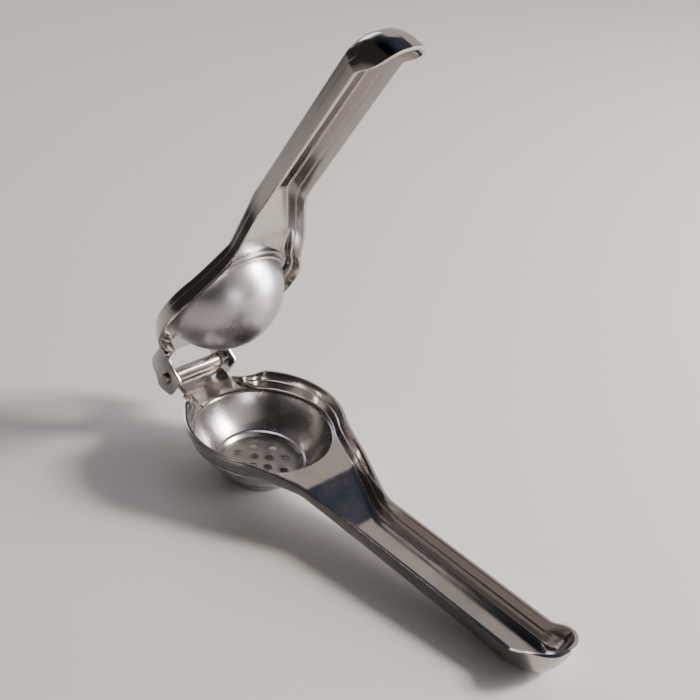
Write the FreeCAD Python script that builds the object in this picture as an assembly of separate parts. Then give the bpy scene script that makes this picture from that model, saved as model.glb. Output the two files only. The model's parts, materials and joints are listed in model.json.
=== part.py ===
import FreeCAD, Part
import math
import os

# Hand-held citrus press: two pressed sheet handles hinged at the head end.
# Built level, with the origin on the cup's axis at the lower web's top face,
# +X towards the grip tips and +Z up, then tilted to the way it rests on a table.

V = FreeCAD.Vector

# sheet
SHEET = 1.5              # handle sheet
CUP_SHEET = 0.8          # cup, dome and strainer sheet
STEP_DROP = 0.7          # how far the outer side of the wall's step lies below the inner

# head pan, inside radii
MOUTH_R = 30.0           # cup mouth
WEB_HOLE_R = 30.5        # hole in the handle's web
WALL_R0 = 31.1           # foot of the wall
WALL_R1 = 32.2           # below the step
WALL_R2 = 32.8           # above the step
WALL_R3 = 33.8           # free edge
WALL_STEP_Z = 3.4
WALL_TOP_Z = 7.3

# neck and grip stations: x, web z, step z, edge z, half widths at foot, step, step, edge
STATIONS = (
    (20.0, 0.0, 3.4, 7.3, 23.8, 25.1, 25.7, 27.3),
    (28.0, 0.0, 3.4, 7.3, 20.2, 21.4, 22.0, 23.4),
    (42.0, 0.0, 3.2, 6.8, 14.9, 16.1, 16.7, 18.1),
    (64.0, -7.5, -3.6, 0.4, 8.0, 9.2, 9.7, 10.7),
    (150.0, -7.5, -3.4, 0.9, 8.0, 9.2, 9.7, 10.7),
)

# spoon end of the grip: the same eight sizes, then how steeply the web climbs there
TIP_STATIONS = (
    (152.5, -7.5, -3.2, 1.2, 8.0, 9.2, 9.6, 10.6, 0.0),
    (158.0, -7.2, -1.6, 4.6, 7.4, 9.0, 9.2, 10.2, 10.0),
    (162.0, -5.4, 0.4, 6.2, 6.4, 8.0, 8.4, 9.3, 35.0),
    (165.0, -2.0, 2.6, 6.9, 4.6, 6.2, 6.6, 7.4, 58.0),
    (167.4, 3.5, 5.4, 7.1, 2.0, 3.0, 3.2, 3.8, 75.0),
)

UPPER_GRIP_SHORTER = 6.0  # the upper grip stops short of the lower one

# cup and strainer
CUP_FLANGE_R = 31.9
RECESS_R = 19.3
RECESS_Z = -15.5
DISC_R = 17.4
DISC_Z = -17.9
CUP_FOOT_Z = -19.5
HOLE_R = 1.85
RING_OUTER = (8, 11.5, 22.5)
RING_INNER = (4, 4.7, 0.0)

# wall beside the tongue: falls away from the pan towards the hinge
TAIL_FROM = (-27.2, 14.2)
TAIL_TO = (-40.5, 13.0)
TAIL_LOW = 0.5

# hinge
PIN_X = -49.3
PIN_Z = 4.2
PIN_R = 1.65
RUNNING_GAP = 0.05
KNUCKLE_R = 3.1
KNUCKLE_HALF_W = 12.6
TONGUE_BEND_X = -40.0
EAR_IN_Y = 14.8
EAR_OUT_Y = EAR_IN_Y + SHEET
HEAD_R = 2.6
HEAD_T = 1.6
PEEN_R = 2.4
PEEN_T = 1.0
WASHER_R = 3.6
WASHER_GAP = 0.1
EAR_OUTLINE = (
    (-30.0, 16.5), (-54.0, 16.5), (-55.2, 9.8), (-58.0, 5.2), (-54.6, -1.5),
    (-51.0, -2.8), (-45.0, -2.6), (-41.4, -2.3), (-41.4, 6.0), (-40.2, 8.8),
    (-36.0, 9.6), (-30.0, 9.6),
)
WINDOW_X = -47.6
BUMP_X = -38.3
BUMP_Z = 11.4
BUMP_R = 2.1

# dome
DOME_R = 27.96
DOME_LOW_Z = -9.5
DOME_RIM_R = 29.6
DOME_STEP_R = 28.2
DOME_STEP_H = 3.0
DOME_HOLE_R = 27.2

# how it stands
MIRROR_Z = 7.5           # the two handles mirror about this plane when shut
OPEN_ANGLE = 60.1        # opening in the resting pose


def solid_of(points, direction):
    """Prism of a closed outline."""
    wire = Part.makePolygon([V(*p) for p in points] + [V(*points[0])])
    return Part.Face(wire).extrude(V(*direction))


def turned(profile):
    """Solid of revolution of an (r, z) outline about the cup's axis."""
    pts = [V(r, 0, z) for r, z in profile]
    wire = Part.makePolygon(pts + [pts[0]])
    return Part.Face(wire).revolve(V(0, 0, 0), V(0, 0, 1), 360)


def ring_about_pin(radius, y_low, y_high):
    """Round bar along the hinge pin's axis."""
    return Part.makeCylinder(radius, y_high - y_low, V(PIN_X, y_low, PIN_Z), V(0, 1, 0))


def channel(inside, shorter):
    """Neck, grip and spoon end as a filled bar: its outer skin, or the space inside it."""
    wires = []
    for station in STATIONS + TIP_STATIONS:
        x, web, step, edge, foot, low, high, lip = station[:8]
        climb = math.radians(station[8]) if len(station) > 8 else 0.0
        if x >= STATIONS[-1][0]:
            x -= shorter
        if inside:
            over = 12.0
            half = [(lip + (lip - high) * over / (edge - step), edge + over),
                    (high, step), (low, step), (foot, web)]
        else:
            x += SHEET * math.sin(climb)
            web -= SHEET * math.cos(climb)
            half = [(lip + SHEET, edge), (high + SHEET, step - STEP_DROP),
                    (low + SHEET, step - STEP_DROP), (foot + 0.6 * SHEET, web)]
        ring = [V(x, -y, z) for y, z in half] + [V(x, y, z) for y, z in reversed(half)]
        wires.append(Part.makePolygon(ring + [ring[0]]))
    return Part.makeLoft(wires, True, True)


def pressing(hole_r, shorter=0.0):
    """One handle as it leaves the press, before its hinge end is formed."""
    outer = turned([
        (0, -SHEET), (WALL_R0 + 0.6 * SHEET, -SHEET),
        (WALL_R1 + SHEET, WALL_STEP_Z - STEP_DROP),
        (WALL_R2 + SHEET, WALL_STEP_Z - STEP_DROP),
        (WALL_R3 + SHEET, WALL_TOP_Z), (0, WALL_TOP_Z)])
    inner = turned([
        (0, 0), (WALL_R0, 0), (WALL_R1, WALL_STEP_Z), (WALL_R2, WALL_STEP_Z),
        (WALL_R3, WALL_TOP_Z), (WALL_R3 + 0.5, WALL_TOP_Z + 2), (0, WALL_TOP_Z + 2)])
    skin = outer.fuse(channel(False, shorter))
    body = skin.cut(inner).cut(channel(True, shorter))
    hole = Part.makeCylinder(hole_r, 4.0, V(0, 0, -3.0))
    return body.cut(hole).removeSplitter()


# ---- lower handle: pressing, tongue and curled knuckle
gap = solid_of([(-45, -12.8, 0), (-45, 12.8, 0), (-45, 18.0, 8.0), (-45, -18.0, 8.0)], (30, 0, 0))
tongue = solid_of([
    (-28.0, -KNUCKLE_HALF_W, -SHEET), (TONGUE_BEND_X, -KNUCKLE_HALF_W, -SHEET),
    (PIN_X, -KNUCKLE_HALF_W, PIN_Z - KNUCKLE_R),
    (PIN_X + 1.5, -KNUCKLE_HALF_W, PIN_Z - 0.55 * KNUCKLE_R),
    (TONGUE_BEND_X, -KNUCKLE_HALF_W, 0), (-28.0, -KNUCKLE_HALF_W, 0),
], (0, 2 * KNUCKLE_HALF_W, 0))
knuckle = ring_about_pin(KNUCKLE_R, -KNUCKLE_HALF_W, KNUCKLE_HALF_W)
lower = pressing(WEB_HOLE_R).cut(gap)
for side in (-1, 1):
    tail = solid_of([
        (TAIL_FROM[0], side * TAIL_FROM[1], -SHEET),
        (TAIL_TO[0], side * (TAIL_TO[1] - 0.5), -SHEET),
        (TAIL_TO[0], side * (TAIL_TO[1] + SHEET), -SHEET),
        (TAIL_FROM[0] - 2.4, side * (TAIL_FROM[1] + 2.6), -SHEET),
    ], (0, 0, WALL_TOP_Z + SHEET))
    above = solid_of([
        (TAIL_TO[0] - 1, -20.0, TAIL_LOW), (TAIL_FROM[0] - 2.4, -20.0, WALL_TOP_Z - 1.0),
        (TAIL_FROM[0] + 1, -20.0, WALL_TOP_Z), (TAIL_FROM[0] + 1, -20.0, WALL_TOP_Z + 5),
        (TAIL_TO[0] - 1, -20.0, WALL_TOP_Z + 5),
    ], (0, 40.0, 0))
    lower = lower.fuse(tail.cut(above))
tongue = tongue.cut(Part.makeCylinder(WEB_HOLE_R, 4.0, V(0, 0, -3.0)))
lower = lower.fuse(tongue).fuse(knuckle)
lower = lower.cut(ring_about_pin(PIN_R + RUNNING_GAP, -20, 20)).removeSplitter()

# ---- cup under the lower web, with a stepped drain bottom
rise = (MOUTH_R ** 2 - RECESS_R ** 2 - (RECESS_Z + SHEET) ** 2) / (-2 * (RECESS_Z + SHEET))
bowl_r = math.hypot(MOUTH_R, rise)
bowl_z = rise - SHEET


def bowl_point(radius, off_axis):
    """Point of the bowl's round wall at a distance from the cup's axis."""
    return V(off_axis, 0, bowl_z - math.sqrt(radius ** 2 - off_axis ** 2))


in_top = V(MOUTH_R, 0, -SHEET)
in_low = bowl_point(bowl_r, RECESS_R)
out_top = V(math.sqrt((bowl_r + CUP_SHEET) ** 2 - (bowl_z + SHEET + CUP_SHEET) ** 2),
            0, -SHEET - CUP_SHEET)
out_low = bowl_point(bowl_r + CUP_SHEET, RECESS_R + 0.7)
cup_edges = [
    Part.Arc(in_top, bowl_point(bowl_r, 26.5), in_low).toShape(),
    Part.LineSegment(in_low, V(DISC_R, 0, DISC_Z)).toShape(),
    Part.LineSegment(V(DISC_R, 0, DISC_Z), V(DISC_R, 0, CUP_FOOT_Z)).toShape(),
    Part.LineSegment(V(DISC_R, 0, CUP_FOOT_Z), V(DISC_R + CUP_SHEET, 0, CUP_FOOT_Z)).toShape(),
    Part.LineSegment(V(DISC_R + CUP_SHEET, 0, CUP_FOOT_Z),
                     V(DISC_R + CUP_SHEET, 0, DISC_Z - 0.3)).toShape(),
    Part.LineSegment(V(DISC_R + CUP_SHEET, 0, DISC_Z - 0.3), out_low).toShape(),
    Part.Arc(out_low, bowl_point(bowl_r + CUP_SHEET, 27.0), out_top).toShape(),
    Part.LineSegment(out_top, V(CUP_FLANGE_R, 0, -SHEET - CUP_SHEET)).toShape(),
    Part.LineSegment(V(CUP_FLANGE_R, 0, -SHEET - CUP_SHEET), V(CUP_FLANGE_R, 0, -SHEET)).toShape(),
    Part.LineSegment(V(CUP_FLANGE_R, 0, -SHEET), in_top).toShape(),
]
cup = Part.Face(Part.Wire(cup_edges)).revolve(V(0, 0, 0), V(0, 0, 1), 360)

# ---- strainer disc in the cup's foot
disc = Part.makeCylinder(DISC_R, CUP_SHEET, V(0, 0, DISC_Z - CUP_SHEET))
for count, ring_r, first in (RING_OUTER, RING_INNER):
    for i in range(count):
        a = math.radians(first + 360.0 * i / count)
        spot = V(ring_r * math.cos(a), ring_r * math.sin(a), DISC_Z - 2 * CUP_SHEET)
        disc = disc.cut(Part.makeCylinder(HOLE_R, 3 * CUP_SHEET, spot))

# ---- upper handle: the same pressing mirrored, with two ears
upper = pressing(DOME_HOLE_R, UPPER_GRIP_SHORTER).mirror(V(0, 0, MIRROR_Z), V(0, 0, 1))
web_z = 2 * MIRROR_Z
ear = solid_of([(x, -EAR_OUT_Y, z) for x, z in EAR_OUTLINE], (0, SHEET, 0))
ear_far = solid_of([(x, EAR_IN_Y, z) for x, z in EAR_OUTLINE], (0, SHEET, 0))
shelf = Part.makeBox(-28.0 - WINDOW_X, 2 * EAR_OUT_Y, SHEET, V(WINDOW_X, -EAR_OUT_Y, web_z))
shelf = shelf.cut(Part.makeCylinder(DOME_HOLE_R, 6.0, V(0, 0, web_z - 2)))
way = Part.makeBox(40.0, 2 * EAR_IN_Y, 20.0, V(-62.0, -EAR_IN_Y, web_z - 20.0))
upper = upper.cut(way).fuse([ear, ear_far, shelf])
for side in (-1, 1):
    upper = upper.fuse(Part.makeSphere(BUMP_R, V(BUMP_X, side * (EAR_OUT_Y - 0.6), BUMP_Z)))
upper = upper.cut(way)
upper = upper.cut(ring_about_pin(PIN_R, -20, 20)).removeSplitter()

# ---- press dome hung under the upper web
centre_z = DOME_LOW_Z + DOME_R
step_z = web_z - DOME_STEP_H
skin_r = math.sqrt(DOME_R ** 2 - (centre_z - step_z) ** 2)
step_in_r = DOME_STEP_R - CUP_SHEET
hollow_r = math.sqrt((DOME_R - CUP_SHEET) ** 2 - (centre_z - step_z - CUP_SHEET) ** 2)
dome_edges = [
    Part.Arc(V(0, 0, DOME_LOW_Z), V(DOME_R * math.sin(0.7), 0, centre_z - DOME_R * math.cos(0.7)),
             V(skin_r, 0, step_z)).toShape(),
    Part.LineSegment(V(skin_r, 0, step_z), V(DOME_STEP_R, 0, step_z)).toShape(),
    Part.LineSegment(V(DOME_STEP_R, 0, step_z), V(DOME_STEP_R, 0, web_z - CUP_SHEET)).toShape(),
    Part.LineSegment(V(DOME_STEP_R, 0, web_z - CUP_SHEET),
                     V(DOME_RIM_R, 0, web_z - CUP_SHEET)).toShape(),
    Part.LineSegment(V(DOME_RIM_R, 0, web_z - CUP_SHEET), V(DOME_RIM_R, 0, web_z)).toShape(),
    Part.LineSegment(V(DOME_RIM_R, 0, web_z), V(step_in_r, 0, web_z)).toShape(),
    Part.LineSegment(V(step_in_r, 0, web_z), V(step_in_r, 0, step_z + CUP_SHEET)).toShape(),
    Part.LineSegment(V(step_in_r, 0, step_z + CUP_SHEET),
                     V(hollow_r, 0, step_z + CUP_SHEET)).toShape(),
    Part.Arc(V(hollow_r, 0, step_z + CUP_SHEET),
             V((DOME_R - CUP_SHEET) * math.sin(0.7), 0,
               centre_z - (DOME_R - CUP_SHEET) * math.cos(0.7)),
             V(0, 0, DOME_LOW_Z + CUP_SHEET)).toShape(),
    Part.LineSegment(V(0, 0, DOME_LOW_Z + CUP_SHEET), V(0, 0, DOME_LOW_Z)).toShape(),
]
dome = Part.Face(Part.Wire(dome_edges)).revolve(V(0, 0, 0), V(0, 0, 1), 360)

# ---- hinge pin: near head, shank through both ears, peened far end
pin = ring_about_pin(PIN_R, -EAR_OUT_Y, EAR_OUT_Y)
head = ring_about_pin(HEAD_R, -EAR_OUT_Y - HEAD_T, -EAR_OUT_Y)
peen = ring_about_pin(PEEN_R, EAR_OUT_Y, EAR_OUT_Y + PEEN_T)
pin = pin.fuse([head, peen]).removeSplitter()

# ---- spacing washers between the knuckle and the ears
washers = []
for side in (-1, 1):
    y0 = KNUCKLE_HALF_W + WASHER_GAP
    y1 = EAR_IN_Y
    low, high = (y0, y1) if side > 0 else (-y1, -y0)
    washers.append(ring_about_pin(WASHER_R, low, high).cut(ring_about_pin(PIN_R, -20, 20)))

lower_group = {"lower_handle": lower, "juice_cup": cup, "strainer_disc": disc}
upper_group = {"upper_handle": upper, "press_dome": dome, "hinge_pin": pin,
               "hinge_washer_near": washers[0], "hinge_washer_far": washers[1]}

for shape in upper_group.values():
    shape.rotate(V(PIN_X, 0, PIN_Z), V(0, -1, 0), OPEN_ANGLE)

# ---- rest pose: the cup's foot and the grip's end both stand on the table
tip_z = STATIONS[-1][1] - SHEET
tip_x = TIP_STATIONS[0][0] + 4.0
tilt = math.degrees(math.atan2(tip_z - CUP_FOOT_Z, tip_x - DISC_R - CUP_SHEET))
nodes = dict(lower_group, **upper_group)
for shape in nodes.values():
    shape.rotate(V(0, 0, 0), V(0, 1, 0), tilt)
box = Part.makeCompound(list(nodes.values())).optimalBoundingBox(False)
shift = V(-(box.XMin + box.XMax) / 2, 0, -box.ZMin)
pivot = FreeCAD.Rotation(V(0, 1, 0), tilt).multVec(V(PIN_X, 0, PIN_Z)) + shift

os.makedirs("parts", exist_ok=True)
for name, shape in nodes.items():
    shape.translate(shift)
    shape.exportStep("parts/" + name + ".step")
    kind = [s.isValid() for s in shape.Solids]
    print(name, "solids", len(shape.Solids), kind, "volume", round(shape.Volume, 1))
print("tilt", round(tilt, 3), "shift", shift, "pivot", pivot)
print("box", box)
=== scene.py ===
import json
import math

import bmesh
import bpy
from mathutils import Matrix, Vector


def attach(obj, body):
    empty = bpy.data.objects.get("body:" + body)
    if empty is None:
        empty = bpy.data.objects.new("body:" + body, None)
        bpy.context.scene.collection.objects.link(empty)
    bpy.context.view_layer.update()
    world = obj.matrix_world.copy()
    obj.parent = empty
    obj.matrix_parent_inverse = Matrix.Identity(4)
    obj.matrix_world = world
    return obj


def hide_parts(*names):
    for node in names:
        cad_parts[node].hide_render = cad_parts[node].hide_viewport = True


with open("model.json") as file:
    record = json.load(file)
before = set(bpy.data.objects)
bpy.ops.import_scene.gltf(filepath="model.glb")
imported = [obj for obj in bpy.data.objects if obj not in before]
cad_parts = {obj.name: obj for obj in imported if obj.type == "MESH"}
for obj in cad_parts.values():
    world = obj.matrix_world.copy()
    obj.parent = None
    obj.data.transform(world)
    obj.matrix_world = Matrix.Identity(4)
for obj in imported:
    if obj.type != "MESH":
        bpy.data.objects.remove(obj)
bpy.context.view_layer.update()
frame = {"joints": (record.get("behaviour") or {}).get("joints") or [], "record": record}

# ---------------------------------------------------------------- camera
# A short telephoto looking down on the open press from its near side, past
# the grips' end.
CAMERA_AT = (0.2881, -0.2996, 0.3226)
CAMERA_LOOK = (-0.6073, 0.6202, -0.4964)
CAMERA_UP = (-0.3998, 0.3014, 0.8656)
LENS = 64.3
SENSOR = 36.0

eye = bpy.data.objects.new("camera", bpy.data.cameras.new("camera"))
bpy.context.scene.collection.objects.link(eye)
look = Vector(CAMERA_LOOK).normalized()
side = look.cross(Vector(CAMERA_UP)).normalized()
turn = Matrix((side, side.cross(look), -look)).transposed()
eye.rotation_mode = "QUATERNION"
eye.rotation_quaternion = turn.to_quaternion()
eye.location = CAMERA_AT
eye.data.lens = LENS
eye.data.sensor_width = SENSOR
eye.data.clip_start = 0.01
eye.data.clip_end = 20.0
bpy.context.scene.camera = eye

# ---------------------------------------------------------------- lower handle
# One strip of 1.5 mm stainless sheet, pressed into a pan for the cup, a
# sloping neck and a channel grip with a step half way up its walls. The free
# edge climbs round the end of the grip like a spoon's.
# Sizes are in mm on the level, shut press: x from the cup's axis to the grip's
# end, y to the far side, z up from the top of the flat ring round the cup.
SHEET = 1.5
PAN_FOOT, PAN_LOW, PAN_HIGH, PAN_EDGE = 31.1, 32.2, 32.8, 33.8
STEP_UP, EDGE_UP = 3.4, 7.3
CUP_HOLE = 30.5
JOIN_X, SWING = 20.0, 11.2
# x, heights of web, step and edge, half widths at the web's fold, at both ends
# of the step and at the edge; then how far along x each change is spread.
NECK = (
    (8.0, 0.0, 3.4, 7.3, 30.0, 31.2, 31.8, 32.8),
    (14.0, 0.0, 3.4, 7.3, 27.8, 29.0, 29.7, 30.8),
    (20.0, 0.0, 3.4, 7.3, 23.8, 25.1, 25.7, 27.3),
    (28.0, 0.0, 3.4, 7.3, 20.2, 21.4, 22.0, 23.4),
    (42.0, 0.0, 3.2, 6.8, 14.9, 16.1, 16.7, 18.1),
    (64.0, -7.5, -3.6, 0.4, 8.0, 9.2, 9.7, 10.7),
    (150.0, -7.5, -3.4, 0.9, 8.0, 9.2, 9.7, 10.7),
)
NECK_SOFT = (1.6, 4.0, 5.0, 4.5, 4.5, 4.5, 4.5)
GRIP_END = 150.0
# The spoon end: the web's fold and the free edge, and where the step lies
# between them, as shares out and up, at the grip and at the nose.
SPOON_FOOT = (
    (150.0, 8.0), (151.5, 8.0), (153.4, 7.8), (155.3, 7.1),
    (156.8, 5.9), (157.8, 4.2), (158.3, 2.2), (158.5, 0.0),
)
SPOON_RIM = (
    (150.0, 10.7, 0.9), (151.8, 10.75, 1.1), (154.8, 10.55, 2.7), (158.0, 10.2, 4.6),
    (161.4, 9.4, 6.0), (164.4, 7.7, 6.7), (166.7, 4.7, 7.0), (167.5, 0.0, 7.1),
)
SPOON_SIDE, SPOON_NOSE = (0.44, 0.49, 0.63, 0.49), (0.56, 0.22, 0.84, 0.56)
SPOON_ROWS, NOSE_FROM, NOSE_OVER = 45, 0.15, 0.5
BEND_FOOT, BEND_STEP = 1.1, 0.5
NOSE_FOOT, NOSE_STEP = 5.0, 7.0
# The walls beside the hinge, from the pan back: how many rows, what share of
# them follows the hole, what share is at full height, how fast they turn upright.
TAIL_ROWS, TAIL_ON_HOLE, TAIL_KEEP, TAIL_LEAN = 32, 0.3, 0.08, 1.25
TONGUE_HALF_W, TONGUE_BEND = 12.6, -39.5
PIN_X, PIN_Z = -49.3, 4.2
CURL_R, CURL_TURN = 1.7, 334
EDGE_ROUND = 0.35
FOLD_SHARP = math.radians(38)

hinge = frame["joints"][0]
foot_axis = frame["record"]["mounts"][0]["axis"]
tilt = math.atan2(-foot_axis[0], -foot_axis[2])
open_angle = math.radians(-hinge["range_deg"][0])


def seat(p, opened=False):
    """A point of the level, shut press in mm to its resting place in metres."""
    x, y, z = p[0] - PIN_X, p[1], p[2] - PIN_Z
    if opened:
        c, s = math.cos(open_angle), math.sin(open_angle)
        x, z = x * c - z * s, x * s + z * c
    c, s = math.cos(tilt), math.sin(tilt)
    pin = hinge["pos_m"]
    return Vector((pin[0] + (x * c + z * s) / 1000, pin[1] + y / 1000,
                   pin[2] + (z * c - x * s) / 1000))


def neck_at(x):
    """Web, step and edge heights and half widths at x, with soft changes."""
    found = []
    for column, soft in enumerate(NECK_SOFT, start=1):
        total = 0.0
        for k in range(-4, 5):
            at = x + soft * k / 4
            for a, b in zip(NECK, NECK[1:]):
                if at <= b[0]:
                    break
            t = min(max((at - a[0]) / (b[0] - a[0]), 0.0), 1.0)
            total += a[column] + (b[column] - a[column]) * t
        found.append(total / 9)
    return found


def bent(points, radii, steps=4):
    """An open line with each inner corner rounded to its bend radius."""
    line = [points[0]]
    for i, radius in enumerate(radii, start=1):
        before, corner, after = points[i - 1], points[i], points[i + 1]
        a, b = before - corner, after - corner
        reach = min(a.length, b.length) * 0.48  # so that two bends never meet
        if a.length > 1e-6 and b.length > 1e-6:
            half = (math.pi - a.angle(b)) / 2
            reach = min(reach, radius * math.tan(half))
        start = corner + a.normalized() * reach
        end = corner + b.normalized() * reach
        for k in range(steps + 1):
            t = k / steps
            line.append(start * (1 - t) ** 2 + corner * 2 * t * (1 - t) + end * t ** 2)
    line.append(points[-1])
    return line


def across(points, soften=0.0):
    """One row of the pressing: flat web, two leaning walls and the step."""
    step = BEND_STEP + soften * NOSE_STEP
    line = bent(points, [BEND_FOOT + soften * NOSE_FOOT, step, step])
    web = [line[0].lerp(line[1], k / 6) for k in range(1, 6)]
    return [line[0]] + web + line[1:]


def along(stops, t):
    """A smooth path through evenly counted stops, t from 0 to 1."""
    at = t * (len(stops) - 1)
    i = min(int(at), len(stops) - 2)
    u = at - i
    a, b, c, d = [Vector(stops[min(max(j, 0), len(stops) - 1)])
                  for j in range(i - 1, i + 3)]
    return (b * 2 + (c - a) * u + (a * 2 - b * 5 + c * 4 - d) * u ** 2
            + (b * 3 - a - c * 3 + d) * u ** 3) / 2


def on_ring(radius, angle, z=0.0):
    """A point at an angle on a ring about the cup's axis."""
    return Vector((radius * math.cos(angle), radius * math.sin(angle), z))


def tail_rows(hole_r, pan_angle, side, wall_y, end_x, end_low, end_lean):
    """The wall between the pan and a straight side of the hinge end."""
    rows = []
    start = on_ring(1.0, pan_angle) * PAN_FOOT
    heading = Vector((-math.sin(pan_angle), math.cos(pan_angle), 0.0))
    corner = start + heading * ((wall_y - start.y) / heading.y)
    end = Vector((end_x, wall_y, 0.0))
    side_x = -math.sqrt(hole_r ** 2 - side ** 2)
    side_angle = math.atan2(side, side_x)
    for i in range(TAIL_ROWS):
        u = 1.0 - i / TAIL_ROWS
        foot = start * (1 - u) ** 2 + corner * 2 * u * (1 - u) + end * u ** 2
        run = (corner - start) * (1 - u) + (end - corner) * u
        out = Vector((run.y, -run.x, 0.0)).normalized()
        keep = min(max((u - TAIL_KEEP) / (1.0 - TAIL_KEEP), 0.0), 1.0)
        low = 1.0 + (end_low - 1.0) * keep
        lean = 1.0 + (end_lean - 1.0) * min(u * TAIL_LEAN, 1.0)
        if u < TAIL_ON_HOLE:
            part = (TAIL_ON_HOLE - u) / TAIL_ON_HOLE
            inner = on_ring(hole_r, side_angle + (pan_angle - side_angle) * part)
        else:
            part = (u - TAIL_ON_HOLE) / (1.0 - TAIL_ON_HOLE)
            inner = Vector((side_x + (end_x - side_x) * part, side, 0.0))
        row = [inner, foot]
        level = 1.0 - lean
        for r, z in ((PAN_LOW, STEP_UP - 0.6 * level),
                     (PAN_HIGH, STEP_UP + 1.2 * level), (PAN_EDGE, EDGE_UP)):
            row.append(foot + out * (r - PAN_FOOT) * lean + Vector((0.0, 0.0, z * low)))
        rows.append(across(row))
    return rows


def pressing_rows(hole_r, first_angle, tail, shorter=0.0):
    """Half the pressing, from its hinge end round the pan and down the grip."""
    rows = tail_rows(hole_r, first_angle, *tail)
    rings = (hole_r, PAN_FOOT, PAN_LOW, PAN_HIGH, PAN_EDGE)
    heights = (0.0, 0.0, STEP_UP, STEP_UP, EDGE_UP)
    last = [math.acos(JOIN_X / r) for r in (PAN_FOOT,) + rings[1:]]
    pan_steps = 56
    for i in range(pan_steps):
        t = i / pan_steps
        rows.append(across([on_ring(r, first_angle + (end - first_angle) * t, z)
                            for r, z, end in zip(rings, heights, last)]))
    # Close together round the hole and where the neck bends.
    stations = [JOIN_X + 0.8 * k for k in range(15)]
    stations += [33.0, 36.0, 38.5, 40.0, 41.0, 41.6, 42.2, 43.0, 44.2, 47.0, 50.0, 53.0,
                 56.0, 59.0, 61.2, 62.4, 63.2, 63.8, 64.4, 65.2, 66.6, 69.0, 73.0]
    grip_from = stations[-1]
    straight = GRIP_END - shorter - grip_from
    stations += [grip_from + straight * (k + 1) / 14 for k in range(13)]
    for x in stations:
        web, step, edge, fold, low, high, rim = neck_at(x)
        swing = min(max((x - JOIN_X) / SWING, 0.0), 1.0)
        if x - JOIN_X < SWING + 0.1:
            inner = on_ring(hole_r, last[0] * (1 - swing))
        else:
            inner = Vector((x, 0.0, web))
        rows.append(across([inner, Vector((x, fold, web)), Vector((x, low, step)),
                            Vector((x, high, step)), Vector((x, rim, edge))]))
    web = neck_at(GRIP_END)[0]
    for i in range(SPOON_ROWS):
        t = i / (SPOON_ROWS - 1)
        x, y = along(SPOON_FOOT, t)
        x -= shorter
        foot = Vector((x, y, web))
        rim = along(SPOON_RIM, t) - Vector((shorter, 0.0, 0.0))
        blend = min(max((t - NOSE_FROM) / NOSE_OVER, 0.0), 1.0)
        blend = blend * blend * (3 - 2 * blend)
        la, lz, ha, hz = [p + (q - p) * blend
                          for p, q in zip(SPOON_SIDE, SPOON_NOSE)]
        reach = rim - foot
        low = foot + Vector((reach.x * la, reach.y * la, reach.z * lz))
        high = foot + Vector((reach.x * ha, reach.y * ha, reach.z * hz))
        rows.append(across([Vector((x, 0.0, web)), foot, low, high, rim], blend))
    return rows


def lay_rows(bm, rows, place, flip):
    """Skins a list of equal rows with quads."""
    grid = [[bm.verts.new(place(p)) for p in row] for row in rows]
    for a, b in zip(grid, grid[1:]):
        for k in range(len(a) - 1):
            ring = (a[k], b[k], b[k + 1], a[k + 1])
            bm.faces.new(ring[::-1] if flip else ring)


def made(name, bm):
    """Makes an object of a mesh that is being built."""
    mesh = bpy.data.meshes.new(name)
    bm.to_mesh(mesh)
    bm.free()
    piece = bpy.data.objects.new(name, mesh)
    bpy.context.scene.collection.objects.link(piece)
    return piece


def smooth(mesh):
    """Shades a mesh smooth, with its folds left sharp."""
    mesh.shade_smooth()
    mesh.set_sharp_from_angle(angle=FOLD_SHARP)


def thicken(work, thick, even):
    """Gives a skin its sheet thickness, in mm, behind its faces."""
    wall = work.modifiers.new("wall", "SOLIDIFY")
    wall.thickness = thick / 1000
    wall.offset = -1.0
    wall.use_even_offset = even


def round_edges(work, width, segments, above):
    """Rounds the edges, in mm, that turn by more than an angle in degrees."""
    soft = work.modifiers.new("edge", "BEVEL")
    soft.width = width / 1000
    soft.segments = segments
    soft.limit_method = "ANGLE"
    soft.angle_limit = math.radians(above)


def sheet_piece(name, bm):
    """Gives a skin the handles' sheet thickness, as one plain mesh."""
    bmesh.ops.remove_doubles(bm, verts=bm.verts, dist=2e-5)
    bmesh.ops.dissolve_degenerate(bm, edges=bm.edges, dist=1e-6)
    work = made(name, bm)
    thicken(work, SHEET, True)
    round_edges(work, EDGE_ROUND, 2, 50)
    return settled(work)


def settled(work):
    """Bakes a piece's modifiers into a plain smooth-shaded mesh."""
    graph = bpy.context.evaluated_depsgraph_get()
    mesh = bpy.data.meshes.new_from_object(work.evaluated_get(graph))
    work.modifiers.clear()
    old = work.data
    work.data = mesh
    bpy.data.meshes.remove(old)
    mesh.name = work.name
    smooth(mesh)
    return work


def linear(code):
    """An sRGB hex colour as linear values for a shader."""
    parts = [int(code[i:i + 2], 16) / 255 for i in (1, 3, 5)]
    return tuple(c / 12.92 if c <= 0.04045 else ((c + 0.055) / 1.055) ** 2.4
                 for c in parts) + (1.0,)


def add_node(tree, kind, settings=None, links=None):
    """Adds one node, with its settings by name and its links by input."""
    node = tree.nodes.new(kind)
    for key, value in (settings or {}).items():
        if isinstance(key, str) and hasattr(node, key):
            setattr(node, key, value)
        else:
            node.inputs[key].default_value = value
    for key, socket in (links or {}).items():
        tree.links.new(socket, node.inputs[key])
    return node


def bare_material(name):
    """A new material with an empty tree."""
    material = bpy.data.materials.new(name)
    material.use_nodes = True
    material.node_tree.nodes.clear()
    return material, material.node_tree


def levelled(tree, opened):
    """Object coordinates about the cup's axis on the level, shut press."""
    place = add_node(tree, "ShaderNodeTexCoord")
    return add_node(tree, "ShaderNodeMapping", {
        "vector_type": "TEXTURE", "Location": tuple(seat((0, 0, 0), opened)),
        "Rotation": (0.0, tilt - (open_angle if opened else 0.0), 0.0)},
        {"Vector": place.outputs["Object"]})


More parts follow.
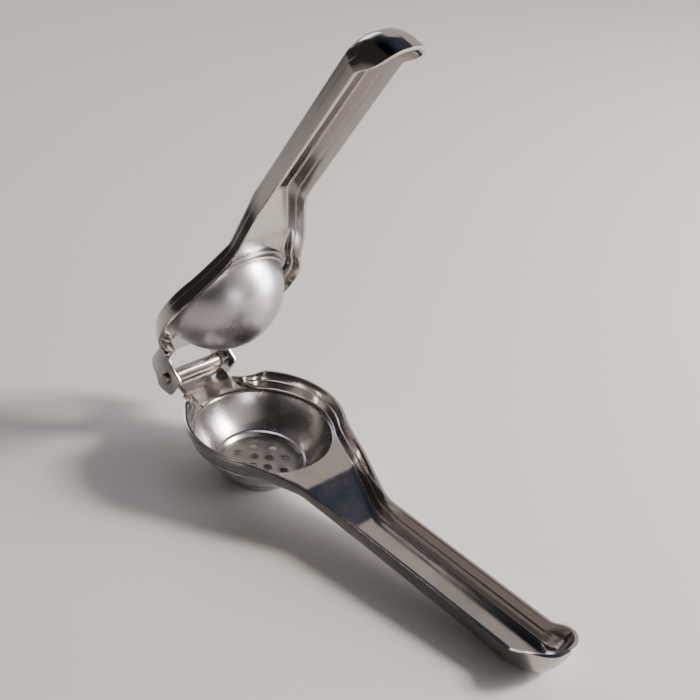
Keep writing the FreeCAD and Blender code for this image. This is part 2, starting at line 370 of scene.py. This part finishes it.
def plain_metal(tree, tint, rough, normal):
    """Ends a tree in bare metal with a colour, a roughness and a normal."""
    steel = add_node(tree, "ShaderNodeBsdfPrincipled", {"Metallic": 1.0},
                     {"Base Color": tint, "Roughness": rough, "Normal": normal})
    add_node(tree, "ShaderNodeOutputMaterial", None, {"Surface": steel.outputs["BSDF"]})


def polished_stainless(name, opened):
    """Bright rolled 18/8 stainless sheet, buffed along the handle.

    The buffing leaves faint lengthwise lines, drawn 0.4 mm apart, which is
    coarser than real ones, and slow waves of 14 mm in the mirror. Handling
    leaves duller patches about 20 mm wide.
    """
    material, tree = bare_material(name)
    level = levelled(tree, opened)
    lines = add_node(tree, "ShaderNodeMapping", {"Scale": (30.0, 2600.0, 2600.0)},
                     {"Vector": level.outputs["Vector"]})
    grain = add_node(tree, "ShaderNodeTexNoise", {"Scale": 1.0, "Detail": 3.0},
                     {"Vector": lines.outputs["Vector"]})
    wave = add_node(tree, "ShaderNodeTexNoise", {"Scale": 70.0, "Detail": 2.0},
                    {"Vector": level.outputs["Vector"]})
    patch = add_node(tree, "ShaderNodeTexNoise",
                     {"Scale": 45.0, "Detail": 5.0, "Roughness": 0.6},
                     {"Vector": level.outputs["Vector"]})
    rough = add_node(tree, "ShaderNodeMapRange", {
        "From Min": 0.35, "From Max": 0.7, "To Min": 0.10, "To Max": 0.19},
        {"Value": patch.outputs["Fac"]})
    rough_lines = add_node(tree, "ShaderNodeMapRange", {
        "From Min": 0.3, "From Max": 0.7, "To Min": -0.02, "To Max": 0.04},
        {"Value": grain.outputs["Fac"]})
    rough_sum = add_node(tree, "ShaderNodeMath", {"operation": "ADD"},
                         {0: rough.outputs["Result"], 1: rough_lines.outputs["Result"]})
    tint = add_node(tree, "ShaderNodeMix", {
        "data_type": "RGBA", "A": linear("#c3bfbc"), "B": linear("#aeaaa7")},
        {"Factor": patch.outputs["Fac"]})
    bump_wave = add_node(tree, "ShaderNodeBump", {"Strength": 0.10, "Distance": 0.0012},
                         {"Height": wave.outputs["Fac"]})
    bump_line = add_node(tree, "ShaderNodeBump",
                         {"Strength": 0.12, "Distance": 0.00004},
                         {"Height": grain.outputs["Fac"],
                          "Normal": bump_wave.outputs["Normal"]})
    plain_metal(tree, tint.outputs["Result"], rough_sum.outputs["Value"],
                bump_line.outputs["Normal"])
    return material


lower_steel = polished_stainless("polished_stainless_lower", False)
skin = bmesh.new()
half = pressing_rows(CUP_HOLE, math.radians(140),
                     (TONGUE_HALF_W, 13.2, -39.2, 0.05, 0.05))
lay_rows(skin, half, seat, False)
lay_rows(skin, half, lambda p: seat((p.x, -p.y, p.z)), True)
away = Vector((PIN_X - TONGUE_BEND, 0.0, PIN_Z))
touch = math.atan2(-away.z, -away.x) - math.acos(CURL_R / away.length)
curl = [touch - math.radians(CURL_TURN) * j / 28 for j in range(29)]
tongue = []
for k in range(19):
    y = TONGUE_HALF_W * (k / 9 - 1)
    line = [Vector((-math.sqrt(CUP_HOLE ** 2 - y * y), y, 0.0))]
    line += [Vector((x, y, 0.0)) for x in (-31.6, -33.0, -35.0, -37.0, -38.4, -39.0)]
    round_pin = [Vector((PIN_X + CURL_R * math.cos(a), y, PIN_Z + CURL_R * math.sin(a)))
                 for a in curl]
    knee = Vector((TONGUE_BEND, y, 0.0))
    line += [knee.lerp(round_pin[0], t) for t in (0.1, 0.25, 0.45, 0.65, 0.85)]
    tongue.append(line + round_pin)
lay_rows(skin, tongue, seat, False)
lower_handle = sheet_piece("lower_handle_sheet", skin)
lower_handle.data.materials.append(lower_steel)
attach(lower_handle, "lower")
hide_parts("lower_handle")

# ---------------------------------------------------------------- juice cup
# A bowl drawn from 0.8 mm stainless and left satin from spinning, welded under
# the pan. Its foot is stepped in to hold the strainer.
CUP_SHEET = 0.8
MOUTH_R = 30.0
RECESS_R, RECESS_Z = 19.3, -15.5
STRAIN_R, STRAIN_Z, FOOT_Z = 17.4, -17.9, -19.5
FLANGE_R = 31.9


def turned(name, outline, opened, steps=128, about_pin=False):
    """Turns a closed outline about the cup's axis, or about the hinge pin's.

    Its points are a radius and how far along the axis they lie.
    """
    bm = bmesh.new()
    rings = []
    for r, far in outline:
        ring = []
        for k in range(steps if r > 1e-6 else 1):
            a = 2 * math.pi * k / steps
            u, v = r * math.cos(a), r * math.sin(a)
            p = (PIN_X + u, far, PIN_Z + v) if about_pin else (u, v, far)
            ring.append(bm.verts.new(seat(p, opened)))
        rings.append(ring)
    for i, a in enumerate(rings):
        b = rings[(i + 1) % len(rings)]
        for k in range(steps):
            n = (k + 1) % steps
            quad = [a[k % len(a)], a[n % len(a)], b[n % len(b)], b[k % len(b)]]
            quad = [v for j, v in enumerate(quad) if v not in quad[:j]]
            if len(quad) > 2:
                bm.faces.new(quad)
    bmesh.ops.recalc_face_normals(bm, faces=bm.faces)
    piece = made(name, bm)
    smooth(piece.data)
    return piece


def flat_line(points, radii, steps=5):
    """Rounds the corners of an open (r, z) line."""
    line = bent([Vector((r, 0.0, z)) for r, z in points], radii, steps)
    return [(p.x, p.z) for p in line]


def spun_stainless(name, opened, pale, dark, low, high, ridge):
    """Satin stainless as the spinning lathe and drawing leave it.

    Fine rings run round the axis, drawn 0.5 mm apart, which is coarser than
    real ones, with grit of 0.7 mm. Cloudy patches about 11 mm wide lie where
    the sheet was stretched.
    """
    material, tree = bare_material(name)
    level = levelled(tree, opened)
    flat = add_node(tree, "ShaderNodeVectorMath",
                    {"operation": "MULTIPLY", 1: (1.0, 1.0, 0.0)},
                    {0: level.outputs["Vector"]})
    radius = add_node(tree, "ShaderNodeVectorMath", {"operation": "LENGTH"},
                      {0: flat.outputs["Vector"]})
    apart = add_node(tree, "ShaderNodeSeparateXYZ", None,
                     {"Vector": level.outputs["Vector"]})
    run = add_node(tree, "ShaderNodeMath", {"operation": "SUBTRACT"},
                   {0: radius.outputs["Value"], 1: apart.outputs["Z"]})
    rings = add_node(tree, "ShaderNodeTexNoise",
                     {"noise_dimensions": "1D", "Scale": 2000.0, "Detail": 2.0},
                     {"W": run.outputs["Value"]})
    cloud = add_node(tree, "ShaderNodeTexNoise",
                     {"Scale": 90.0, "Detail": 5.0, "Roughness": 0.6},
                     {"Vector": level.outputs["Vector"]})
    grit = add_node(tree, "ShaderNodeTexNoise", {"Scale": 1400.0, "Detail": 2.0},
                    {"Vector": level.outputs["Vector"]})
    rough = add_node(tree, "ShaderNodeMapRange", {
        "From Min": 0.35, "From Max": 0.68, "To Min": low, "To Max": high},
        {"Value": cloud.outputs["Fac"]})
    tint = add_node(tree, "ShaderNodeMix", {
        "data_type": "RGBA", "A": linear(pale), "B": linear(dark)},
        {"Factor": cloud.outputs["Fac"]})
    bump_ring = add_node(tree, "ShaderNodeBump",
                         {"Strength": ridge, "Distance": 0.0001},
                         {"Height": rings.outputs["Fac"]})
    bump_grit = add_node(tree, "ShaderNodeBump",
                         {"Strength": 0.12, "Distance": 0.00008},
                         {"Height": grit.outputs["Fac"],
                          "Normal": bump_ring.outputs["Normal"]})
    bump_cloud = add_node(tree, "ShaderNodeBump", {"Strength": 0.10, "Distance": 0.001},
                          {"Height": cloud.outputs["Fac"],
                           "Normal": bump_grit.outputs["Normal"]})
    plain_metal(tree, tint.outputs["Result"], rough.outputs["Result"],
                bump_cloud.outputs["Normal"])
    return material


def bowl_line(radius, centre, r_from, r_to, count):
    """Points of a round bowl wall from one radius off the axis to another."""
    a, b = math.asin(r_from / radius), math.asin(r_to / radius)
    turns = [a + (b - a) * k / count for k in range(count + 1)]
    return [(radius * math.sin(t), centre - radius * math.cos(t)) for t in turns]


mouth_drop = RECESS_Z + SHEET
bowl_up = (MOUTH_R ** 2 - RECESS_R ** 2 - mouth_drop ** 2) / (-2 * mouth_drop)
bowl_r = math.hypot(MOUTH_R, bowl_up)
bowl_z = bowl_up - SHEET
inside = [(MOUTH_R + 0.9, -SHEET), (MOUTH_R + 0.4, -SHEET - 0.06)]
inside += bowl_line(bowl_r, bowl_z, MOUTH_R - 0.05, RECESS_R + 0.5, 24)
inside += flat_line([(RECESS_R + 0.4, RECESS_Z - 0.12),
                     (RECESS_R - 0.5, RECESS_Z - 0.5),
                     (STRAIN_R, STRAIN_Z + 0.6), (STRAIN_R, FOOT_Z)], [0.6, 0.3])
outside = flat_line([(STRAIN_R, FOOT_Z), (STRAIN_R + CUP_SHEET, FOOT_Z),
                     (STRAIN_R + CUP_SHEET, STRAIN_Z),
                     (RECESS_R + 0.5, RECESS_Z - 1.15)], [0.3, 0.6])[1:]
outside += bowl_line(bowl_r + CUP_SHEET, bowl_z, RECESS_R + 0.8, MOUTH_R + 0.45, 24)
outside += [(FLANGE_R, -SHEET - CUP_SHEET), (FLANGE_R, -SHEET)]
juice_cup = turned("juice_cup_bowl", inside + outside, False)
juice_cup.data.materials.append(spun_stainless(
    "spun_satin_stainless_cup", False, "#c6c4c3", "#a9a7a8", 0.20, 0.30, 0.10))
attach(juice_cup, "lower")
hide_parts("juice_cup")

# ---------------------------------------------------------------- strainer
# A flat matt disc of 0.8 mm stainless, punched with twelve 3.7 mm holes: eight
# on an outer ring and four on an inner one.
HOLE_R = 1.85
HOLE_RINGS = ((8, 11.5, 22.5), (4, 4.7, 0.0))  # count, ring radius, first angle

perforate = bpy.data.node_groups.new("perforated_disc", "GeometryNodeTree")
sockets = perforate.interface
for label, value in (("Disc radius", STRAIN_R), ("Hole radius", HOLE_R),
                     ("Sheet", CUP_SHEET)):
    sockets.new_socket(label, in_out="INPUT",
                       socket_type="NodeSocketFloat").default_value = value / 1000
for i, (count, ring_r, first) in enumerate(HOLE_RINGS):
    for label, kind, value in (("Holes", "Int", count),
                               ("Ring radius", "Float", ring_r / 1000),
                               ("First angle", "Float", math.radians(first))):
        sockets.new_socket("%s %d" % (label, i), in_out="INPUT",
                           socket_type="NodeSocket" + kind).default_value = value
sockets.new_socket("Finish", in_out="INPUT", socket_type="NodeSocketMaterial")
sockets.new_socket("Geometry", in_out="OUTPUT", socket_type="NodeSocketGeometry")
given = add_node(perforate, "NodeGroupInput")
blank = add_node(perforate, "GeometryNodeCurvePrimitiveCircle", {"Resolution": 160},
                 {"Radius": given.outputs["Disc radius"]})
punch = add_node(perforate, "GeometryNodeCurvePrimitiveCircle", {"Resolution": 36},
                 {"Radius": given.outputs["Hole radius"]})
outlines = add_node(perforate, "GeometryNodeJoinGeometry", None,
                    {"Geometry": blank.outputs["Curve"]})
for i in range(len(HOLE_RINGS)):
    ring = add_node(perforate, "GeometryNodeMeshCircle", None,
                    {"Vertices": given.outputs["Holes %d" % i],
                     "Radius": given.outputs["Ring radius %d" % i]})
    angle = add_node(perforate, "ShaderNodeCombineXYZ", None,
                     {"Z": given.outputs["First angle %d" % i]})
    set_off = add_node(perforate, "GeometryNodeTransform", None,
                       {"Geometry": ring.outputs["Mesh"],
                        "Rotation": angle.outputs["Vector"]})
    put = add_node(perforate, "GeometryNodeInstanceOnPoints", None,
                   {"Points": set_off.outputs["Geometry"],
                    "Instance": punch.outputs["Curve"]})
    real = add_node(perforate, "GeometryNodeRealizeInstances", None,
                    {"Geometry": put.outputs["Instances"]})
    perforate.links.new(real.outputs["Geometry"], outlines.inputs["Geometry"])
face = add_node(perforate, "GeometryNodeFillCurve", {"mode": "TRIANGLES"},
                {"Curve": outlines.outputs["Geometry"]})
whole = add_node(perforate, "GeometryNodeRealizeInstances", None,
                 {"Geometry": face.outputs["Mesh"]})
finish = add_node(perforate, "GeometryNodeSetMaterial", None,
                  {"Geometry": whole.outputs["Geometry"],
                   "Material": given.outputs["Finish"]})
add_node(perforate, "NodeGroupOutput", None, {"Geometry": finish.outputs["Geometry"]})

strainer_steel = spun_stainless("brushed_matt_stainless_disc", False,
                                "#b3afaa", "#9b9792", 0.42, 0.52, 0.05)
strainer = made("strainer_disc_plate", bmesh.new())
punching = strainer.modifiers.new("punching", "NODES")
punching.node_group = perforate
for item in sockets.items_tree:
    if item.in_out == "INPUT" and item.name == "Finish":
        punching[item.identifier] = strainer_steel
graph = bpy.context.evaluated_depsgraph_get()
plate = bpy.data.meshes.new_from_object(strainer.evaluated_get(graph))
strainer.modifiers.remove(punching)
plate_bm = bmesh.new()
plate_bm.from_mesh(plate)
bmesh.ops.remove_doubles(plate_bm, verts=plate_bm.verts, dist=1e-6)
for v in plate_bm.verts:
    v.co = seat((v.co.x * 1000, v.co.y * 1000, STRAIN_Z))
bmesh.ops.recalc_face_normals(plate_bm, faces=plate_bm.faces)
up_axis = seat((0, 0, 1)) - seat((0, 0, 0))
if sum(f.normal.dot(up_axis) for f in plate_bm.faces) < 0:
    bmesh.ops.reverse_faces(plate_bm, faces=plate_bm.faces)
plate_bm.to_mesh(plate)
plate_bm.free()
strainer.data = plate
thicken(strainer, CUP_SHEET, False)
round_edges(strainer, 0.2, 2, 30)
settled(strainer)
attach(strainer, "lower")
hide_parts("strainer_disc")

# ---------------------------------------------------------------- upper handle
# The same pressing the other way up. Its web runs back past the pan as a shelf,
# and its sides are folded down into two flat ears that carry the pin.
DOME_HOLE = 27.2
MIRROR_UP = 15.0
GRIP_SHORTER = 6.0
EAR_IN, EAR_OUT = 14.8, 16.3
SHELF_BACK, SHELF_HALF_W, EAR_FRONT = -47.6, 14.0, -35.5
EAR = (
    (-35.0, 16.5), (-50.0, 16.5), (-53.2, 15.4), (-54.6, 12.4), (-55.2, 9.8),
    (-57.6, 6.4), (-58.0, 5.0), (-57.2, 3.0), (-54.9, -1.2), (-53.6, -2.4),
    (-51.0, -2.8), (-45.0, -2.7), (-42.4, -2.5), (-41.4, -1.2), (-41.4, 6.0),
    (-40.2, 8.8), (-38.0, 9.2), (-35.0, 9.2),
)
DIMPLE_X, DIMPLE_Z, DIMPLE_R, DIMPLE_SUNK = -38.3, 11.4, 2.1, 0.6


def plate_between(bm, outline, low, high, place):
    """Adds a flat plate: an (x, z) outline carried from one y to another."""
    a = [bm.verts.new(place((x, low, z))) for x, z in outline]
    b = [bm.verts.new(place((x, high, z))) for x, z in outline]
    faces = [bm.faces.new(a), bm.faces.new(b[::-1])]
    for k in range(len(outline)):
        n = (k + 1) % len(outline)
        faces.append(bm.faces.new((a[n], a[k], b[k], b[n])))
    bmesh.ops.recalc_face_normals(bm, faces=faces)


def joined(name, parts):
    """Makes one mesh of several finished meshes."""
    bm = bmesh.new()
    for part in parts:
        bm.from_mesh(part.data)
        bpy.data.objects.remove(part)
    piece = made(name, bm)
    smooth(piece.data)
    return piece


def upper_place(p):
    """A point of the pressing, mirrored and opened, in its resting place."""
    return seat((p.x, p.y, MIRROR_UP - p.z), True)


upper_steel = polished_stainless("polished_stainless_upper", True)
skin = bmesh.new()
half = pressing_rows(DOME_HOLE, math.radians(138),
                     (SHELF_HALF_W, EAR_IN, EAR_FRONT, 0.8, 0.0), GRIP_SHORTER)
lay_rows(skin, half, upper_place, True)
lay_rows(skin, half, lambda p: upper_place(Vector((p.x, -p.y, p.z))), False)
shelf = []
for k in range(13):
    y = SHELF_HALF_W * (k / 6 - 1)
    start = -math.sqrt(DOME_HOLE ** 2 - y * y)
    stops = [start + (EAR_FRONT - start) * j / 5 for j in range(5)]
    stops += [EAR_FRONT + (SHELF_BACK - EAR_FRONT) * j / 5 for j in range(6)]
    shelf.append([Vector((x, y, 0.0)) for x in stops])
for side_y in (-1, 1):
    strip = [[Vector((x, side_y * y, 0.0)) for x in stops[5:]]
             for y in (SHELF_HALF_W, EAR_IN)]
    lay_rows(skin, strip, upper_place, side_y > 0)
lay_rows(skin, shelf, upper_place, True)
pan_and_grip = sheet_piece("pan_and_grip", skin)
skin = bmesh.new()
for low, high in ((-EAR_OUT, -EAR_IN), (EAR_IN, EAR_OUT)):
    plate_between(skin, EAR, low, high, lambda p: seat(p, True))
for side_y in (-1, 1):
    middle = (DIMPLE_X, side_y * (EAR_OUT - DIMPLE_SUNK), DIMPLE_Z)
    bmesh.ops.create_uvsphere(skin, u_segments=32, v_segments=20,
                              radius=DIMPLE_R / 1000,
                              matrix=Matrix.Translation(seat(middle, True)))
ears = made("ears", skin)
round_edges(ears, 0.4, 3, 40)
settled(ears)
upper_handle = joined("upper_handle_sheet", [pan_and_grip, ears])
upper_handle.data.materials.append(upper_steel)
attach(upper_handle, "upper")
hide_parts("upper_handle")

# ---------------------------------------------------------------- press dome
# A satin dome spun from 0.8 mm stainless, with a stepped collar and a flange
# welded under the upper web. It is hollow from behind.
DOME_R, DOME_LOW = 27.96, -9.5
DOME_STEP_R, DOME_STEP_H, DOME_FLANGE_R = 28.2, 3.0, 29.6

dome_centre = DOME_LOW + DOME_R
step_z = MIRROR_UP - DOME_STEP_H
skin_edge = math.sqrt(DOME_R ** 2 - (dome_centre - step_z) ** 2)
inner_r = DOME_R - CUP_SHEET
inner_edge = math.sqrt(inner_r ** 2 - (dome_centre - step_z - CUP_SHEET) ** 2)
outline = bowl_line(DOME_R, dome_centre, 0.0, skin_edge - 0.1, 40)
outline += flat_line([(skin_edge - 0.05, step_z - 0.1), (skin_edge + 0.1, step_z),
                      (DOME_STEP_R, step_z), (DOME_STEP_R, MIRROR_UP - CUP_SHEET),
                      (DOME_FLANGE_R, MIRROR_UP - CUP_SHEET)], [0.1, 0.5, 0.4])
outline += [(DOME_FLANGE_R, MIRROR_UP), (DOME_STEP_R - CUP_SHEET, MIRROR_UP),
            (DOME_STEP_R - CUP_SHEET, step_z + CUP_SHEET),
            (inner_edge, step_z + CUP_SHEET)]
outline += bowl_line(inner_r, dome_centre, inner_edge - 0.1, 0.0, 40)
press_dome = turned("press_dome_shell", outline, True)
press_dome.data.materials.append(spun_stainless(
    "spun_satin_stainless_dome", True, "#b9b7b8", "#a2a0a2", 0.27, 0.36, 0.10))
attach(press_dome, "upper")
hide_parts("press_dome")

# ---------------------------------------------------------------- pin and washers
# A turned steel pin with a flat head on the near side and a peened far end,
# and two spacing washers between the knuckle and the ears.
PIN_R, PIN_HEAD_R, PIN_HEAD_T = 1.65, 2.6, 1.6
PEEN_R, PEEN_T = 2.4, 1.0
WASHER_R, WASHER_BORE, WASHER_IN = 3.6, PIN_R + 0.02, 12.7
TURNED_STEPS = 64


def turned_stainless(name):
    """Turned 18/8 pin stock: a duller, slightly warm grey with 1.4 mm scuffs."""
    material, tree = bare_material(name)
    place = add_node(tree, "ShaderNodeTexCoord")
    scuff = add_node(tree, "ShaderNodeTexNoise",
                     {"Scale": 700.0, "Detail": 4.0, "Roughness": 0.65},
                     {"Vector": place.outputs["Object"]})
    rough = add_node(tree, "ShaderNodeMapRange", {
        "From Min": 0.3, "From Max": 0.7, "To Min": 0.22, "To Max": 0.42},
        {"Value": scuff.outputs["Fac"]})
    tint = add_node(tree, "ShaderNodeMix", {
        "data_type": "RGBA", "A": linear("#bdb8b0"), "B": linear("#8f8a84")},
        {"Factor": scuff.outputs["Fac"]})
    bump = add_node(tree, "ShaderNodeBump", {"Strength": 0.25, "Distance": 0.00015},
                    {"Height": scuff.outputs["Fac"]})
    plain_metal(tree, tint.outputs["Result"], rough.outputs["Result"],
                bump.outputs["Normal"])
    return material


pin_steel = turned_stainless("turned_stainless_pin")
pin_line = [(0.0, -EAR_OUT - PIN_HEAD_T)]
pin_line += flat_line([(PIN_HEAD_R - 1.0, -EAR_OUT - PIN_HEAD_T),
                       (PIN_HEAD_R, -EAR_OUT - PIN_HEAD_T),
                       (PIN_HEAD_R, -EAR_OUT), (PIN_R, -EAR_OUT)], [0.45, 0.1])
pin_line += flat_line([(PIN_R, EAR_OUT), (PEEN_R, EAR_OUT),
                       (PEEN_R - 0.2, EAR_OUT + 0.6), (0.8, EAR_OUT + PEEN_T)],
                      [0.2, 0.4])
pin_line += [(0.0, EAR_OUT + PEEN_T)]
pin = turned("hinge_pin_turned", pin_line, True, TURNED_STEPS, about_pin=True)
pin.data.materials.append(pin_steel)
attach(pin, "upper")
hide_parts("hinge_pin")
for name, sign in (("near", -1), ("far", 1)):
    ring = [(WASHER_BORE, sign * WASHER_IN)]
    ring += flat_line([(PIN_R + 0.3, sign * WASHER_IN), (WASHER_R, sign * WASHER_IN),
                       (WASHER_R, sign * EAR_IN), (PIN_R + 0.3, sign * EAR_IN)],
                      [0.4, 0.3])
    ring += [(WASHER_BORE, sign * EAR_IN)]
    washer = turned("hinge_washer_" + name + "_ring", ring, True, TURNED_STEPS,
                    about_pin=True)
    washer.data.materials.append(pin_steel)
    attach(washer, "upper")
    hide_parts("hinge_washer_" + name)

# ---------------------------------------------------------------- table and light
# A plain pale matt table top. A small warm key light and a larger, lower window
# light stand to the right, a weak one in front and another behind on the left.
# The room is brightest behind and to the right, and dark overhead.
TABLE_HALF = 3.0

floor_bm = bmesh.new()
bmesh.ops.create_grid(floor_bm, x_segments=1, y_segments=1, size=TABLE_HALF)
floor = made("table_top", floor_bm)
paint = bpy.data.materials.new("pale_matt_table")
paint.use_nodes = True
shade = paint.node_tree.nodes["Principled BSDF"]
shade.inputs["Base Color"].default_value = linear("#dddad6")
shade.inputs["Roughness"].default_value = 0.55
floor.data.materials.append(paint)


def soft_light(name, place, aim, size, power, colour):
    """A square soft box, placed and aimed in metres, with its power in watts."""
    lamp = bpy.data.lights.new(name, "AREA")
    lamp.shape = "SQUARE"
    lamp.size = size
    lamp.energy = power
    lamp.color = linear(colour)[:3]
    thing = bpy.data.objects.new(name, lamp)
    bpy.context.scene.collection.objects.link(thing)
    thing.location = place
    thing.rotation_mode = "QUATERNION"
    thing.rotation_quaternion = (Vector(aim) - Vector(place)).to_track_quat("-Z", "Y")


soft_light("key", (0.64, 0.84, 0.66), (0.0, 0.0, 0.05), 0.26, 26.0, "#fff4ea")
soft_light("window", (0.95, 1.35, 0.34), (0.0, 0.0, 0.10), 0.75, 34.0, "#fbfaff")
soft_light("front", (1.22, -0.22, 0.20), (0.0, 0.0, 0.04), 0.40, 1.8, "#fbfaff")
soft_light("fill", (-1.1, 0.35, 0.75), (0.0, 0.0, 0.06), 0.6, 3.0, "#eef2ff")
world = bpy.data.worlds.new("room")
bpy.context.scene.world = world
world.use_nodes = True
room = world.node_tree
sky = add_node(room, "ShaderNodeTexCoord")
toward = add_node(room, "ShaderNodeVectorMath",
                  {"operation": "DOT_PRODUCT", 1: (0.25, 0.95, 0.0)},
                  {0: sky.outputs["Generated"]})
high = add_node(room, "ShaderNodeSeparateXYZ", None,
                {"Vector": sky.outputs["Generated"]})
lit = add_node(room, "ShaderNodeMapRange", {
    "interpolation_type": "SMOOTHSTEP", "From Min": -0.45, "From Max": 0.30,
    "To Min": 0.06, "To Max": 1.0}, {"Value": toward.outputs["Value"]})
roofed = add_node(room, "ShaderNodeMapRange", {
    "interpolation_type": "SMOOTHSTEP", "From Min": 0.72, "From Max": 0.80,
    "To Min": 1.0, "To Max": 0.16}, {"Value": high.outputs["Z"]})
level_light = add_node(room, "ShaderNodeMath", {"operation": "MULTIPLY"},
                       {0: lit.outputs["Result"], 1: roofed.outputs["Result"]})
hue = add_node(room, "ShaderNodeMix", {
    "data_type": "RGBA", "A": linear("#8fa3cf"), "B": linear("#dccfc6")},
    {"Factor": roofed.outputs["Result"]})
glow = add_node(room, "ShaderNodeMath", {"operation": "MULTIPLY", 1: 0.95},
                {0: level_light.outputs["Value"]})
ground = room.nodes["Background"]
room.links.new(hue.outputs["Result"], ground.inputs["Color"])
room.links.new(glow.outputs["Value"], ground.inputs["Strength"])
